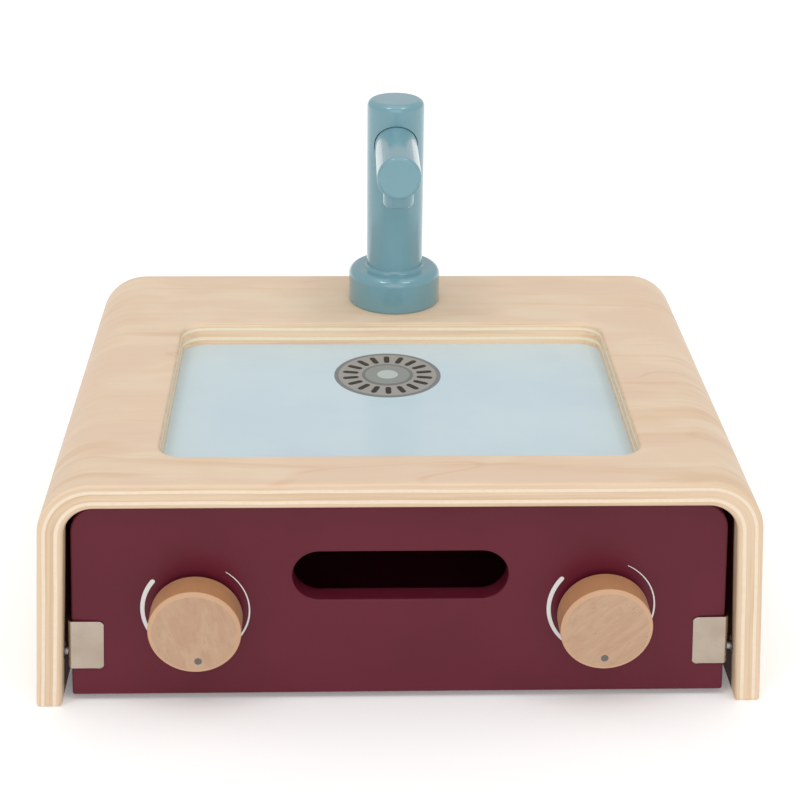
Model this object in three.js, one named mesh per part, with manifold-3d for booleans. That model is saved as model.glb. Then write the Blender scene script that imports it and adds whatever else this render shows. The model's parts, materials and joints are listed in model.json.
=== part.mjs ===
// Table-top toy kitchen: a bent plywood shell over a flat sink board, a tilting front flap with two
// turned knobs, a swivelling tap, and a closed back and bottom.
//
// Millimetres. X runs left to right as a player faces the front, Y from front to back, Z up.
// The origin is the centre of the whole toy's footprint, on the table.
import * as THREE from "three";
import { mergeVertices } from "three/addons/utils/BufferGeometryUtils.js";
import Module from "manifold-3d";

const wasm = await Module();
wasm.setup();

// ---- Driving dimensions ----------------------------------------------------------------------

const GAP = 0.3; // air kept between pieces that touch
const OVERRUN = 1; // how far a cutter passes the face that it cuts
const END_PLAY = 1; // a pin or bolt ends this far short of its blind hole
const BLIND_WALL = 1; // wood left beyond a blind hole
const QUARTER_TURN = Math.PI / 2;
const WELD = 1e-4; // vertices nearer than this are one
const FINE = 48; // sides of a large turned piece
const MEDIUM = 24;
const SMALL = 16;
const COARSE = 12;
const OUTLINE_STEPS = 10; // pieces of each arc of an outline
const SMALL_OUTLINE_STEPS = 5;
const ROUND_STEPS = 5; // pieces of a turned piece's rounded edge
const SMALL_ROUND_STEPS = 3;

const SHELL_WIDTH = 314; // across the outside of the feet
const SHELL_DEPTH = 236.5;
const SHELL_HEIGHT = 107.5;
const PLY = 11;
const BEND_RADIUS = 24; // outside of the bend
const LEG_SPLAY = THREE.MathUtils.degToRad(4.3);

const WINDOW_WIDTH = 205; // sink cut-out
const WINDOW_LENGTH = 143.5;
const WINDOW_FRONT = 27; // from the shell's front edge
const WINDOW_CORNER = 10.5;

const BOARD_THICKNESS = 4;
const BOARD_WIDTH = 247;
const BOARD_MARGIN = 15; // how far the board runs under the plywood behind the window
const BOARD_FRONT = 15.2;
const BOARD_CORNER = 3;
const BOARD_SCREW_X = 113;
const BOARD_SCREW_INSET = 6.5; // of the end screws, from the board's front and back edges

const PANEL_RECESS = 4.7; // front panel's face behind the shell's front edge
const PANEL_THICKNESS = 10;
const PANEL_HALF_WIDTH = 141.4; // at its bottom edge
const PANEL_BOTTOM = 3.15;
const PANEL_TOP = 95.8;
const PANEL_TAPER = THREE.MathUtils.degToRad(3.1);
const PANEL_TOP_CORNER = 13;
const PANEL_FOOT_CORNER = 1.2;
const FLAP_OFFSET = -0.4; // the flap rests this far to one side, in its pivots' play
const SLOT_WIDTH = 91;
const SLOT_HEIGHT = 23.2;
const SLOT_Z = 61.8;

const KNOB_X = 86.2; // each side of the flap's middle
const KNOB_Z = 44.1;
const KNOB_RADIUS = 19.5;
const KNOB_LENGTH = 14.5;
const KNOB_EDGE = 2.2; // round at the front
const KNOB_BACK_EDGE = 1;
const KNOB_STANDOFF = 2; // between panel and knob, filled by the spacer

const PIVOT_Z = 23;
const PIVOT_Y = PANEL_RECESS + PANEL_THICKNESS / 2;
const PIN_RADIUS = 2;
const SPIGOT_RADIUS = 1.3; // the pin's thin end, riveted through the clip
const BUSH_RADIUS = 3.7;
const BUSH_LENGTH = 8;
const BUSH_SUNK = 0.7; // how far the bush's mouth is below the leg's inner face
const CLIP_SHEET = 1.1;
const CLIP_HEIGHT = 23.5;
const CLIP_CENTRE_Z = 29.3;
const CLIP_REACH = 15.2; // across the front plate
const CLIP_CORNER = 2.2;
const CLIP_BEND = 0.9; // inside radius of the sheet's bends
const CLIP_SCREW_INSET = 8; // from the panel's edge
const CLIP_SCREW_SPREAD = 6; // above and below the clip's middle

const BACK_THICKNESS = 6;
const BACK_RECESS = 4;
const BACK_EDGE_GAP = 0.8; // between the back panel and the plywood round it
const BOTTOM_THICKNESS = 6;
const BOTTOM_Z = 5; // underside of the bottom board
const BOTTOM_FRONT = 36; // behind the reach of the flap's lower edge as it tilts
const CLEAT = 12;
const BACK_CLEAT_TOP = 82;
const BACK_SCREWS = [26, 68]; // heights
const BOTTOM_SCREW_INSET = 24; // from the bottom board's front edge, and from the back cleats

const TAP_X = 2;
const TAP_Y = 204.5; // from the shell's front edge
const COLLAR_RADIUS = 23;
const COLLAR_HEIGHT = 18;
const COLLAR_EDGE = 4.2;
const COLUMN_RADIUS = 14;
const COLUMN_TOP = 104.2; // above the plywood
const COLUMN_EDGE = 3.4;
const COLUMN_FLARE = 1.2; // radius of the hollow round at its foot
const SPOUT_RADIUS = 10.35;
const SPOUT_REACH = 62; // from the column's axis
const SPOUT_HEIGHT = 83.6; // of its axis, above the plywood
const SPOUT_BURIED = 7; // how far it runs past the column's axis
const SPOUT_EDGE = 1.6;
const NOZZLE_RADIUS = 7.15;
const NOZZLE_FROM_TIP = 12;
const NOZZLE_PROUD = 6.5;
const NOZZLE_BURIED = 5;
const NOZZLE_EDGE = 1.9;

// ---- Derived places --------------------------------------------------------------------------

const UNDERSIDE = SHELL_HEIGHT - PLY;
const BOARD_TOP = UNDERSIDE - GAP;
const BOARD_BOTTOM = BOARD_TOP - BOARD_THICKNESS;
const WINDOW_BACK = WINDOW_FRONT + WINDOW_LENGTH;
const BOARD_BACK = WINDOW_BACK + BOARD_MARGIN;
const PANEL_BACK = PANEL_RECESS + PANEL_THICKNESS;
const KNOB_BACK = PANEL_RECESS - KNOB_STANDOFF;
const KNOB_FACE = KNOB_BACK - KNOB_LENGTH;
const BACK_PANEL_Y = SHELL_DEPTH - BACK_RECESS - BACK_THICKNESS;
const BOTTOM_BACK = BACK_PANEL_Y - GAP;
const BOTTOM_TOP = BOTTOM_Z + BOTTOM_THICKNESS;
const COLUMN_FOOT = COLLAR_HEIGHT + GAP;
const SHELL_FRONT = -(SHELL_DEPTH + KNOB_FACE) / 2;

// A leg's inner face, a cleat's middle and the panel's side edge, as distances from the middle of
// the toy at a height.
const legInside = (z) => SHELL_WIDTH / 2 - PLY / Math.cos(LEG_SPLAY) - z * Math.tan(LEG_SPLAY);
const cleatMiddle = (z) => legInside(z) - GAP - CLEAT / 2;
const panelEdge = (z) => PANEL_HALF_WIDTH - (z - PANEL_BOTTOM) * Math.tan(PANEL_TAPER);

// ---- Colours and finishes --------------------------------------------------------------------

function finish(color, roughness, metalness = 0) {
  return new THREE.MeshStandardMaterial({ color, roughness, metalness });
}

const FINISH = {
  plywood: finish(0xe6ceb6, 0.55),
  sinkPaint: finish(0xcad6da, 0.4),
  burgundy: finish(0x673040, 0.45),
  teal: finish(0x7aa2aa, 0.3),
  beech: finish(0xc19f85, 0.6),
  softwood: finish(0xd9bd94, 0.7),
  nickel: finish(0xbcb0a4, 0.3, 1),
  steel: finish(0xa8a8aa, 0.35, 1),
  brass: finish(0xb99a55, 0.35, 1),
  nylon: finish(0xdedbd2, 0.5),
};

// ---- Solids ----------------------------------------------------------------------------------

// A closed three.js geometry as a solid that can be joined or cut.
function solidOf(geometry) {
  const bare = geometry.clone();
  bare.deleteAttribute("normal");
  bare.deleteAttribute("uv");
  const merged = mergeVertices(bare, WELD);
  return new wasm.Manifold(
    new wasm.Mesh({
      numProp: 3,
      vertProperties: merged.attributes.position.array,
      triVerts: new Uint32Array(merged.index.array),
    }),
  );
}

// The geometry that is left of a body once each cutter has been taken out of it.
function cut(body, cutters) {
  const result = cutters.reduce((rest, cutter) => rest.subtract(solidOf(cutter)), solidOf(body));
  return geometryOf(result);
}

function geometryOf(solid) {
  const mesh = solid.getMesh();
  const geometry = new THREE.BufferGeometry();
  geometry.setAttribute("position", new THREE.BufferAttribute(mesh.vertProperties, 3));
  geometry.setIndex(new THREE.BufferAttribute(mesh.triVerts, 1));
  geometry.computeVertexNormals();
  return geometry;
}

function piece(name, geometry, material) {
  const mesh = new THREE.Mesh(geometry, material);
  mesh.name = name;
  return mesh;
}

// An outline drawn in X and Z, made solid from front to back.
function plankAlongY(outline, front, thickness, curveSegments = OUTLINE_STEPS) {
  const geometry = new THREE.ExtrudeGeometry(outline, {
    depth: thickness,
    bevelEnabled: false,
    curveSegments,
  });
  return geometry.rotateX(QUARTER_TURN).translate(0, front + thickness, 0);
}

// An outline drawn in X and Y, made solid upwards.
function plankAlongZ(outline, bottom, thickness, curveSegments = OUTLINE_STEPS) {
  const geometry = new THREE.ExtrudeGeometry(outline, {
    depth: thickness,
    bevelEnabled: false,
    curveSegments,
  });
  return geometry.translate(0, 0, bottom);
}

// A profile of [radius, height] points turned about the Y axis; its ends are on the axis.
function turned(profile, segments) {
  const points = profile.map(([radius, height]) => new THREE.Vector2(radius, height));
  return new THREE.LatheGeometry(points, segments);
}

// The points of a quarter round between two tangent directions, as [radius, height] pairs.
function roundEdge(centreRadius, centreHeight, radius, from, to, steps) {
  return Array.from({ length: steps + 1 }, (_, i) => {
    const angle = from + ((to - from) * i) / steps;
    return [centreRadius + radius * Math.cos(angle), centreHeight + radius * Math.sin(angle)];
  });
}

function rod(radius, low, high, segments = SMALL) {
  const geometry = new THREE.CylinderGeometry(radius, radius, high - low, segments);
  return geometry.translate(0, (low + high) / 2, 0);
}

const upright = (geometry) => geometry.rotateX(QUARTER_TURN); // +Y becomes +Z
const sideways = (geometry) => geometry.rotateZ(-QUARTER_TURN); // +Y becomes +X

// A round-headed screw or bolt along Y: its head starts at height 0 and its tip is at -length.
function screwGeometry({ headRadius, headHeight, shankRadius, length, segments = COARSE }) {
  const rim = headHeight / 2;
  const crown = headRadius * 0.6;
  return turned(
    [
      [0, -length],
      [shankRadius, -length],
      [shankRadius, 0],
      [headRadius, 0],
      [headRadius, rim],
      [crown, headHeight],
      [0, headHeight],
    ],
    segments,
  );
}

function ringGeometry(outer, inner, low, high, segments = MEDIUM) {
  const points = [
    [inner, low],
    [outer, low],
    [outer, high],
    [inner, high],
    [inner, low],
  ];
  return turned(points, segments);
}

// ---- Outlines --------------------------------------------------------------------------------

// A flat-topped arch: two sides that lean in by splay, and a tangent round at each top corner.
function arch({ halfWidth, bottom, top, radius, splay }) {
  const centreZ = top - radius;
  const centreX =
    halfWidth - radius / Math.cos(splay) - (centreZ - bottom) * Math.tan(splay);
  return { halfWidth, bottom, radius, splay, centreX, centreZ };
}

function traceArch(path, { halfWidth, bottom, radius, splay, centreX, centreZ }) {
  path.lineTo(halfWidth, bottom);
  path.absarc(centreX, centreZ, radius, splay, QUARTER_TURN, false);
  path.absarc(-centreX, centreZ, radius, QUARTER_TURN, Math.PI - splay, false);
  path.lineTo(-halfWidth, bottom);
}

function traceArchBackwards(path, { halfWidth, bottom, radius, splay, centreX, centreZ }) {
  path.lineTo(-halfWidth, bottom);
  path.absarc(-centreX, centreZ, radius, Math.PI - splay, QUARTER_TURN, true);
  path.absarc(centreX, centreZ, radius, QUARTER_TURN, splay, true);
  path.lineTo(halfWidth, bottom);
}

function archShape(dimensions) {
  const shape = new THREE.Shape();
  shape.moveTo(dimensions.halfWidth, dimensions.bottom);
  traceArch(shape, arch(dimensions));
  return shape;
}

function circlePath(x, y, radius) {
  const path = new THREE.Path();
  path.absarc(x, y, radius, 0, 2 * Math.PI, true);
  return path;
}

function roundedRectangle(left, bottom, width, height, radius) {
  const right = left + width;
  const top = bottom + height;
  const shape = new THREE.Shape();
  shape.absarc(right - radius, bottom + radius, radius, -QUARTER_TURN, 0, false);
  shape.absarc(right - radius, top - radius, radius, 0, QUARTER_TURN, false);
  shape.absarc(left + radius, top - radius, radius, QUARTER_TURN, Math.PI, false);
  shape.absarc(left + radius, bottom + radius, radius, Math.PI, 3 * QUARTER_TURN, false);
  return shape;
}

// ---- Fasteners, shared by the holes and the screws -----------------------------------------------

const BOARD_SCREW = { headRadius: 4, headHeight: 2.2, shankRadius: 1.8, length: 9.4 };
const BOARD_SCREW_Y = [
  BOARD_FRONT + BOARD_SCREW_INSET,
  (BOARD_FRONT + BOARD_BACK) / 2,
  BOARD_BACK - BOARD_SCREW_INSET,
];
const BOARD_SCREWS = [-1, 1].flatMap((side) => BOARD_SCREW_Y.map((y) => [side * BOARD_SCREW_X, y]));
const CLIP_SCREW = { headRadius: 2.6, headHeight: 1.5, shankRadius: 1.3, length: 7 };
const CLIP_SCREW_X = panelEdge(CLIP_CENTRE_Z) - CLIP_SCREW_INSET;
const CLIP_SCREWS = [CLIP_CENTRE_Z - CLIP_SCREW_SPREAD, CLIP_CENTRE_Z + CLIP_SCREW_SPREAD];
const CLEAT_SCREW = { headRadius: 3.6, headHeight: 2, shankRadius: 1.7, length: 15 };
const BOTTOM_SCREW_X = cleatMiddle(BOTTOM_TOP + CLEAT / 2);
const BOTTOM_SCREWS = [BOTTOM_FRONT + BOTTOM_SCREW_INSET, BOTTOM_BACK - CLEAT - BOTTOM_SCREW_INSET];
const KNOB_BOLT = { headRadius: 4.8, headHeight: 3, shankRadius: 2.5, segments: SMALL };
const KNOB_BOLT_GRIP = 7; // how far it runs into the knob's insert
const KNOB_SPACER_RADIUS = 8;
const KNOB_WASHER = { radius: 7, thickness: 1.2 };
const KNOB_BORE = { radius: 4.4, depth: 10 };
const TAP_BOLT = { headRadius: 6, headHeight: 4, shankRadius: 3, segments: SMALL };
const TAP_BORE = { radius: 5, depth: 14 };
const TAP_BUSH = { radius: 6.2, flange: 9.5, flangeThickness: 1.8 };
const TAP_WASHER = { radius: 8.5, thickness: 1.5 };
const INSERT_SUNK = 0.4; // how far an insert stays below the face that it is set in

const PIVOT_MOUTH = legInside(PIVOT_Z) + BUSH_SUNK;
const PIVOT_END = PIVOT_MOUTH + BUSH_LENGTH; // the blind end of the bush, inside the leg

// ---- Shell, sink board and back ------------------------------------------------------------------

function plywoodShell() {
  const outline = new THREE.Shape();
  const outside = {
    halfWidth: SHELL_WIDTH / 2,
    bottom: 0,
    top: SHELL_HEIGHT,
    radius: BEND_RADIUS,
    splay: LEG_SPLAY,
  };
  const inside = {
    ...outside,
    halfWidth: legInside(0),
    top: UNDERSIDE,
    radius: BEND_RADIUS - PLY,
  };
  outline.moveTo(outside.halfWidth, outside.bottom);
  traceArch(outline, arch(outside));
  traceArchBackwards(outline, arch(inside));

  const window = roundedRectangle(
    -WINDOW_WIDTH / 2,
    WINDOW_FRONT,
    WINDOW_WIDTH,
    WINDOW_LENGTH,
    WINDOW_CORNER,
  );
  const tapHole = upright(
    rod(TAP_BUSH.radius + GAP, UNDERSIDE - OVERRUN, SHELL_HEIGHT + OVERRUN, MEDIUM),
  );
  const screwTip = BOARD_BOTTOM - GAP + BOARD_SCREW.length;
  const pilotHoles = BOARD_SCREWS.map(([x, y]) => {
    const hole = rod(BOARD_SCREW.shankRadius + GAP, UNDERSIDE - OVERRUN, screwTip + GAP, COARSE);
    return upright(hole).translate(x, y, 0);
  });
  const bushHoles = [0, Math.PI].map((turn) =>
    sideways(rod(BUSH_RADIUS + GAP, PIVOT_MOUTH - 2 * OVERRUN, PIVOT_END + GAP, MEDIUM))
      .rotateZ(turn)
      .translate(0, PIVOT_Y, PIVOT_Z),
  );
  return cut(plankAlongY(outline, 0, SHELL_DEPTH), [
    plankAlongZ(window, UNDERSIDE - OVERRUN, PLY + 2 * OVERRUN),
    tapHole.translate(TAP_X, TAP_Y, 0),
    ...pilotHoles,
    ...bushHoles,
  ]);
}

function sinkBoard() {
  const outline = roundedRectangle(
    -BOARD_WIDTH / 2,
    BOARD_FRONT,
    BOARD_WIDTH,
    BOARD_BACK - BOARD_FRONT,
    BOARD_CORNER,
  );
  for (const [x, y] of BOARD_SCREWS)
    outline.holes.push(circlePath(x, y, BOARD_SCREW.shankRadius + GAP));
  return plankAlongZ(outline, BOARD_BOTTOM, BOARD_THICKNESS, SMALL_OUTLINE_STEPS);
}

function boardScrews() {
  return BOARD_SCREWS.map(([x, y], i) => {
    const screw = piece(`board_screw_${i + 1}`, screwGeometry(BOARD_SCREW), FINISH.steel);
    screw.rotation.x = -QUARTER_TURN; // the head faces down
    screw.position.set(x, y, BOARD_BOTTOM - GAP);
    return screw;
  });
}

function backPanel() {
  const outline = archShape({
    halfWidth: legInside(PANEL_BOTTOM) - BACK_EDGE_GAP,
    bottom: PANEL_BOTTOM,
    top: UNDERSIDE - BACK_EDGE_GAP,
    radius: BEND_RADIUS - PLY,
    splay: LEG_SPLAY,
  });
  for (const side of [-1, 1])
    for (const z of BACK_SCREWS)
      outline.holes.push(circlePath(side * cleatMiddle(z), z, CLEAT_SCREW.shankRadius + GAP));
  return plankAlongY(outline, BACK_PANEL_Y, BACK_THICKNESS);
}

// The bottom board lies between the legs, its sides bevelled to their lean.
function bottomBoard() {
  const outline = new THREE.Shape();
  outline.moveTo(legInside(BOTTOM_Z) - GAP, BOTTOM_Z);
  outline.lineTo(legInside(BOTTOM_TOP) - GAP, BOTTOM_TOP);
  outline.lineTo(GAP - legInside(BOTTOM_TOP), BOTTOM_TOP);
  outline.lineTo(GAP - legInside(BOTTOM_Z), BOTTOM_Z);
  const holes = [-1, 1].flatMap((side) =>
    BOTTOM_SCREWS.map((y) => {
      const hole = cleatScrewHole(BOTTOM_Z - OVERRUN, BOTTOM_TOP + OVERRUN);
      return hole.translate(side * BOTTOM_SCREW_X, y, 0);
    }),
  );
  return cut(plankAlongY(outline, BOTTOM_FRONT, BOTTOM_BACK - BOTTOM_FRONT), holes);
}

// An upright hole for a screw into a cleat.
function cleatScrewHole(low, high) {
  return upright(rod(CLEAT_SCREW.shankRadius + GAP, low, high, COARSE));
}

// A right-hand cleat is a square strip against the inside of the leg.
function cleatStrip(bottom, top, front, length) {
  const outline = new THREE.Shape();
  outline.moveTo(legInside(bottom) - GAP, bottom);
  outline.lineTo(legInside(top) - GAP, top);
  outline.lineTo(legInside(top) - GAP - CLEAT, top);
  outline.lineTo(legInside(bottom) - GAP - CLEAT, bottom);
  return plankAlongY(outline, front, length);
}

function backCleat() {
  const front = BACK_PANEL_Y - GAP - CLEAT;
  const holes = BACK_SCREWS.map((z) => {
    const back = front + CLEAT + OVERRUN;
    const hole = rod(CLEAT_SCREW.shankRadius + GAP, front + BLIND_WALL, back, COARSE);
    return hole.translate(cleatMiddle(z), 0, z);
  });
  return cut(cleatStrip(BOTTOM_TOP + GAP, BACK_CLEAT_TOP, front, CLEAT), holes);
}

function bottomCleat() {
  const bottom = BOTTOM_TOP + GAP;
  const length = BACK_PANEL_Y - CLEAT - 2 * GAP - BOTTOM_FRONT;
  const holes = BOTTOM_SCREWS.map((y) =>
    cleatScrewHole(bottom - OVERRUN, bottom + CLEAT - BLIND_WALL).translate(BOTTOM_SCREW_X, y, 0),
  );
  return cut(cleatStrip(bottom, bottom + CLEAT, BOTTOM_FRONT, length), holes);
}

// ---- Front flap ----------------------------------------------------------------------------------

function frontPanel() {
  const outline = new THREE.Shape();
  const footHeight = PANEL_BOTTOM + PANEL_FOOT_CORNER;
  const footCentre = panelEdge(footHeight) - PANEL_FOOT_CORNER;
  const body = {
    halfWidth: panelEdge(footHeight),
    bottom: footHeight,
    top: PANEL_TOP,
    radius: PANEL_TOP_CORNER,
    splay: PANEL_TAPER,
  };
  outline.absarc(-footCentre, footHeight, PANEL_FOOT_CORNER, Math.PI, 3 * QUARTER_TURN, false);
  outline.absarc(footCentre, footHeight, PANEL_FOOT_CORNER, -QUARTER_TURN, 0, false);
  traceArch(outline, arch(body));
  const slot = roundedRectangle(
    -SLOT_WIDTH / 2,
    SLOT_Z - SLOT_HEIGHT / 2,
    SLOT_WIDTH,
    SLOT_HEIGHT,
    SLOT_HEIGHT / 2,
  );
  outline.holes.push(slot);
  for (const side of [-1, 1])
    outline.holes.push(circlePath(side * KNOB_X, KNOB_Z, KNOB_BOLT.shankRadius + GAP));
  const screwHoles = [-1, 1].flatMap((side) =>
    CLIP_SCREWS.map((z) => {
      const end = PANEL_BACK - CLIP_SCREW.length;
      const hole = rod(CLIP_SCREW.shankRadius + GAP, end, PANEL_BACK + OVERRUN, COARSE);
      return hole.translate(side * CLIP_SCREW_X, 0, z);
    }),
  );
  return cut(plankAlongY(outline, PANEL_RECESS, PANEL_THICKNESS), screwHoles);
}

// The right-hand pivot clip: a sheet bent round the panel's edge and tilted with it, its plates' free
// corners rounded.
function clip() {
  const front = PANEL_RECESS - GAP - CLIP_SHEET;
  const back = PANEL_BACK + GAP + CLIP_SHEET;
  const outside = GAP + CLIP_SHEET; // from the panel's edge
  const left = outside - CLIP_REACH;
  const round = CLIP_SHEET + CLIP_BEND;
  const bend = new THREE.Shape();
  bend.moveTo(left, front);
  bend.absarc(outside - round, front + round, round, -QUARTER_TURN, 0, false);
  bend.absarc(outside - round, back - round, round, 0, QUARTER_TURN, false);
  bend.lineTo(left, back);
  bend.lineTo(left, back - CLIP_SHEET);
  bend.absarc(GAP - CLIP_BEND, back - round, CLIP_BEND, QUARTER_TURN, 0, true);
  bend.absarc(GAP - CLIP_BEND, front + round, CLIP_BEND, 0, -QUARTER_TURN, true);
  bend.lineTo(left, front + CLIP_SHEET);
  const outline = roundedRectangle(left, -CLIP_HEIGHT / 2, 2 * CLIP_REACH, CLIP_HEIGHT, CLIP_CORNER);
  const tabs = solidOf(plankAlongZ(bend, -CLIP_HEIGHT / 2, CLIP_HEIGHT, SMALL_OUTLINE_STEPS)).intersect(
    solidOf(plankAlongY(outline, front - OVERRUN, back - front + 2 * OVERRUN, SMALL_OUTLINE_STEPS)),
  );
  const placed = geometryOf(tabs)
    .rotateY(-PANEL_TAPER)
    .translate(panelEdge(CLIP_CENTRE_Z), 0, CLIP_CENTRE_Z);
  const web = panelEdge(PIVOT_Z);
  const pinHole = sideways(rod(SPIGOT_RADIUS + GAP, web - OVERRUN, web + outside + OVERRUN));
  const screwHoles = CLIP_SCREWS.map((z) =>
    rod(CLIP_SCREW.shankRadius + GAP, PANEL_BACK, back + OVERRUN, COARSE).translate(CLIP_SCREW_X, 0, z),
  );
  return cut(placed, [pinHole.translate(0, PIVOT_Y, PIVOT_Z), ...screwHoles]);
}

// The pin is riveted through the clip's web and turns in the bush.
function pivotPin() {
  const inner = panelEdge(PIVOT_Z) + 2 * GAP;
  const shoulder = inner + CLIP_SHEET + GAP;
  const tip = PIVOT_END - END_PLAY;
  const chamfer = PIN_RADIUS * 0.3;
  const profile = [
    [0, inner],
    [SPIGOT_RADIUS, inner],
    [SPIGOT_RADIUS, shoulder],
    [PIN_RADIUS, shoulder],
    [PIN_RADIUS, tip - chamfer],
    [PIN_RADIUS - chamfer, tip],
    [0, tip],
  ];
  return sideways(turned(profile, MEDIUM)).translate(0, PIVOT_Y, PIVOT_Z);
}

function pivotBush() {
  const ring = ringGeometry(BUSH_RADIUS, PIN_RADIUS + GAP, PIVOT_MOUTH, PIVOT_END);
  return sideways(ring).translate(0, PIVOT_Y, PIVOT_Z);
}

// The clip, pin and clip screws of one side of the flap, drawn for the right and mirrored for the left.
function flapSide(side, sign) {
  const group = new THREE.Group();
  group.scale.x = sign;
  group.add(
    piece(`pivot_clip_${side}`, clip(), FINISH.nickel),
    piece(`pivot_pin_${side}`, pivotPin(), FINISH.steel),
  );
  CLIP_SCREWS.forEach((z, i) => {
    const screw = piece(`clip_screw_${side}_${i + 1}`, screwGeometry(CLIP_SCREW), FINISH.steel);
    screw.position.set(CLIP_SCREW_X, PANEL_BACK + CLIP_SHEET + 2 * GAP, z);
    group.add(screw);
  });
  return group;
}

// The bush, cleats and cleat screws of one leg, drawn for the right and mirrored for the left.
function legSide(side, sign) {
  const group = new THREE.Group();
  group.scale.x = sign;
  group.add(
    piece(`pivot_bush_${side}`, pivotBush(), FINISH.nylon),
    piece(`back_cleat_${side}`, backCleat(), FINISH.softwood),
    piece(`bottom_cleat_${side}`, bottomCleat(), FINISH.softwood),
  );
  BACK_SCREWS.forEach((z, i) => {
    const screw = piece(`back_screw_${side}_${i + 1}`, screwGeometry(CLEAT_SCREW), FINISH.steel);
    screw.position.set(cleatMiddle(z), BACK_PANEL_Y + BACK_THICKNESS + GAP, z);
    group.add(screw);
  });
  BOTTOM_SCREWS.forEach((y, i) => {
    const screw = piece(`bottom_screw_${side}_${i + 1}`, screwGeometry(CLEAT_SCREW), FINISH.steel);
    screw.rotation.x = -QUARTER_TURN; // the head faces down
    screw.position.set(BOTTOM_SCREW_X, y, BOTTOM_Z - GAP);
    group.add(screw);
  });
  return group;
}

// ---- Knobs ---------------------------------------------------------------------------------------

function knob() {
  const profile = [
    [0, KNOB_FACE],
    ...roundEdge(
      KNOB_RADIUS - KNOB_EDGE,
      KNOB_FACE + KNOB_EDGE,
      KNOB_EDGE,
      -QUARTER_TURN,
      0,
      ROUND_STEPS,
    ),
    ...roundEdge(
      KNOB_RADIUS - KNOB_BACK_EDGE,
      KNOB_BACK - KNOB_BACK_EDGE,
      KNOB_BACK_EDGE,
      0,
      QUARTER_TURN,
      SMALL_ROUND_STEPS,
    ),
    [0, KNOB_BACK],
  ];
  return cut(turned(profile, FINE), [
    rod(KNOB_BORE.radius, KNOB_BACK - KNOB_BORE.depth, KNOB_BACK + OVERRUN, MEDIUM),
  ]);
}

// A knob with its insert, bolt, washer and spacer, all on one axis from front to back.
function knobGroup(side, sign) {
  const group = new THREE.Group();
  group.position.set(sign * KNOB_X, 0, KNOB_Z);
  const running = KNOB_BOLT.shankRadius + GAP;
  const insertBack = KNOB_BACK - INSERT_SUNK;
  const insert = ringGeometry(
    KNOB_BORE.radius - GAP,
    running,
    KNOB_BACK - KNOB_BORE.depth + GAP,
    insertBack,
  );
  const washerFront = PANEL_BACK + GAP;
  const washerBack = washerFront + KNOB_WASHER.thickness;
  const headFront = washerBack + GAP;
  const boltLength = headFront - insertBack + KNOB_BOLT_GRIP;
  const bolt = piece(
    `knob_bolt_${side}`,
    screwGeometry({ ...KNOB_BOLT, length: boltLength }),
    FINISH.steel,
  );
  bolt.position.y = headFront;
  group.add(
    piece(`knob_${side}`, knob(), FINISH.beech),
    piece(`knob_insert_${side}`, insert, FINISH.brass),
    piece(
      `knob_spacer_${side}`,
      ringGeometry(KNOB_SPACER_RADIUS, running, KNOB_BACK + GAP, PANEL_RECESS - GAP),
      FINISH.nylon,
    ),
    piece(
      `knob_washer_${side}`,
      ringGeometry(KNOB_WASHER.radius, running, washerFront, washerBack),
      FINISH.steel,
    ),
    bolt,
  );
  return group;
}

// ---- Tap -----------------------------------------------------------------------------------------

function collar() {
  const bore = TAP_BOLT.shankRadius + 2 * GAP;
  const footChamfer = 0.6;
  const profile = [
    [bore, GAP],
    [COLLAR_RADIUS - footChamfer, GAP],
    [COLLAR_RADIUS, GAP + footChamfer],
    ...roundEdge(
      COLLAR_RADIUS - COLLAR_EDGE,
      COLLAR_HEIGHT - COLLAR_EDGE,
      COLLAR_EDGE,
      0,
      QUARTER_TURN,
      ROUND_STEPS,
    ),
    [bore, COLLAR_HEIGHT],
    [bore, GAP],
  ];
  return upright(turned(profile, FINE));
}

function column() {
  const profile = [
    [0, COLUMN_FOOT],
    ...roundEdge(
      COLUMN_RADIUS + COLUMN_FLARE,
      COLUMN_FOOT + COLUMN_FLARE,
      COLUMN_FLARE,
      -QUARTER_TURN,
      -2 * QUARTER_TURN,
      ROUND_STEPS,
    ),
    ...roundEdge(
      COLUMN_RADIUS - COLUMN_EDGE,
      COLUMN_TOP - COLUMN_EDGE,
      COLUMN_EDGE,
      0,
      QUARTER_TURN,
      ROUND_STEPS,
    ),
    [0, COLUMN_TOP],
  ];
  const spoutHole = rod(SPOUT_RADIUS + GAP, -SPOUT_REACH, SPOUT_BURIED + GAP, FINE);
  const insertHole = upright(
    rod(TAP_BORE.radius, COLUMN_FOOT - OVERRUN, COLUMN_FOOT + TAP_BORE.depth, MEDIUM),
  );
  return cut(upright(turned(profile, FINE)), [
    spoutHole.translate(0, 0, SPOUT_HEIGHT),
    insertHole,
  ]);
}

// Drawn along Y with the tip to the front; its socket for the nozzle is in its underside.
function spout() {
  const tip = -SPOUT_REACH;
  const profile = [
    [0, tip],
    ...roundEdge(
      SPOUT_RADIUS - SPOUT_EDGE,
      tip + SPOUT_EDGE,
      SPOUT_EDGE,
      -QUARTER_TURN,
      0,
      SMALL_ROUND_STEPS,
    ),
    [SPOUT_RADIUS, SPOUT_BURIED],
    [0, SPOUT_BURIED],
  ];
  const socket = upright(
    rod(NOZZLE_RADIUS + GAP, -SPOUT_RADIUS - OVERRUN, NOZZLE_BURIED - SPOUT_RADIUS, FINE),
  );
  return cut(turned(profile, FINE), [socket.translate(0, tip + NOZZLE_FROM_TIP, 0)]);
}

function nozzle() {
  const bottom = -SPOUT_RADIUS - NOZZLE_PROUD;
  const top = NOZZLE_BURIED - SPOUT_RADIUS - GAP;
  const profile = [
    [0, bottom],
    ...roundEdge(
      NOZZLE_RADIUS - NOZZLE_EDGE,
      bottom + NOZZLE_EDGE,
      NOZZLE_EDGE,
      -QUARTER_TURN,
      0,
      SMALL_ROUND_STEPS,
    ),
    [NOZZLE_RADIUS, top],
    [0, top],
  ];
  return upright(turned(profile, FINE));
}

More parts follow.
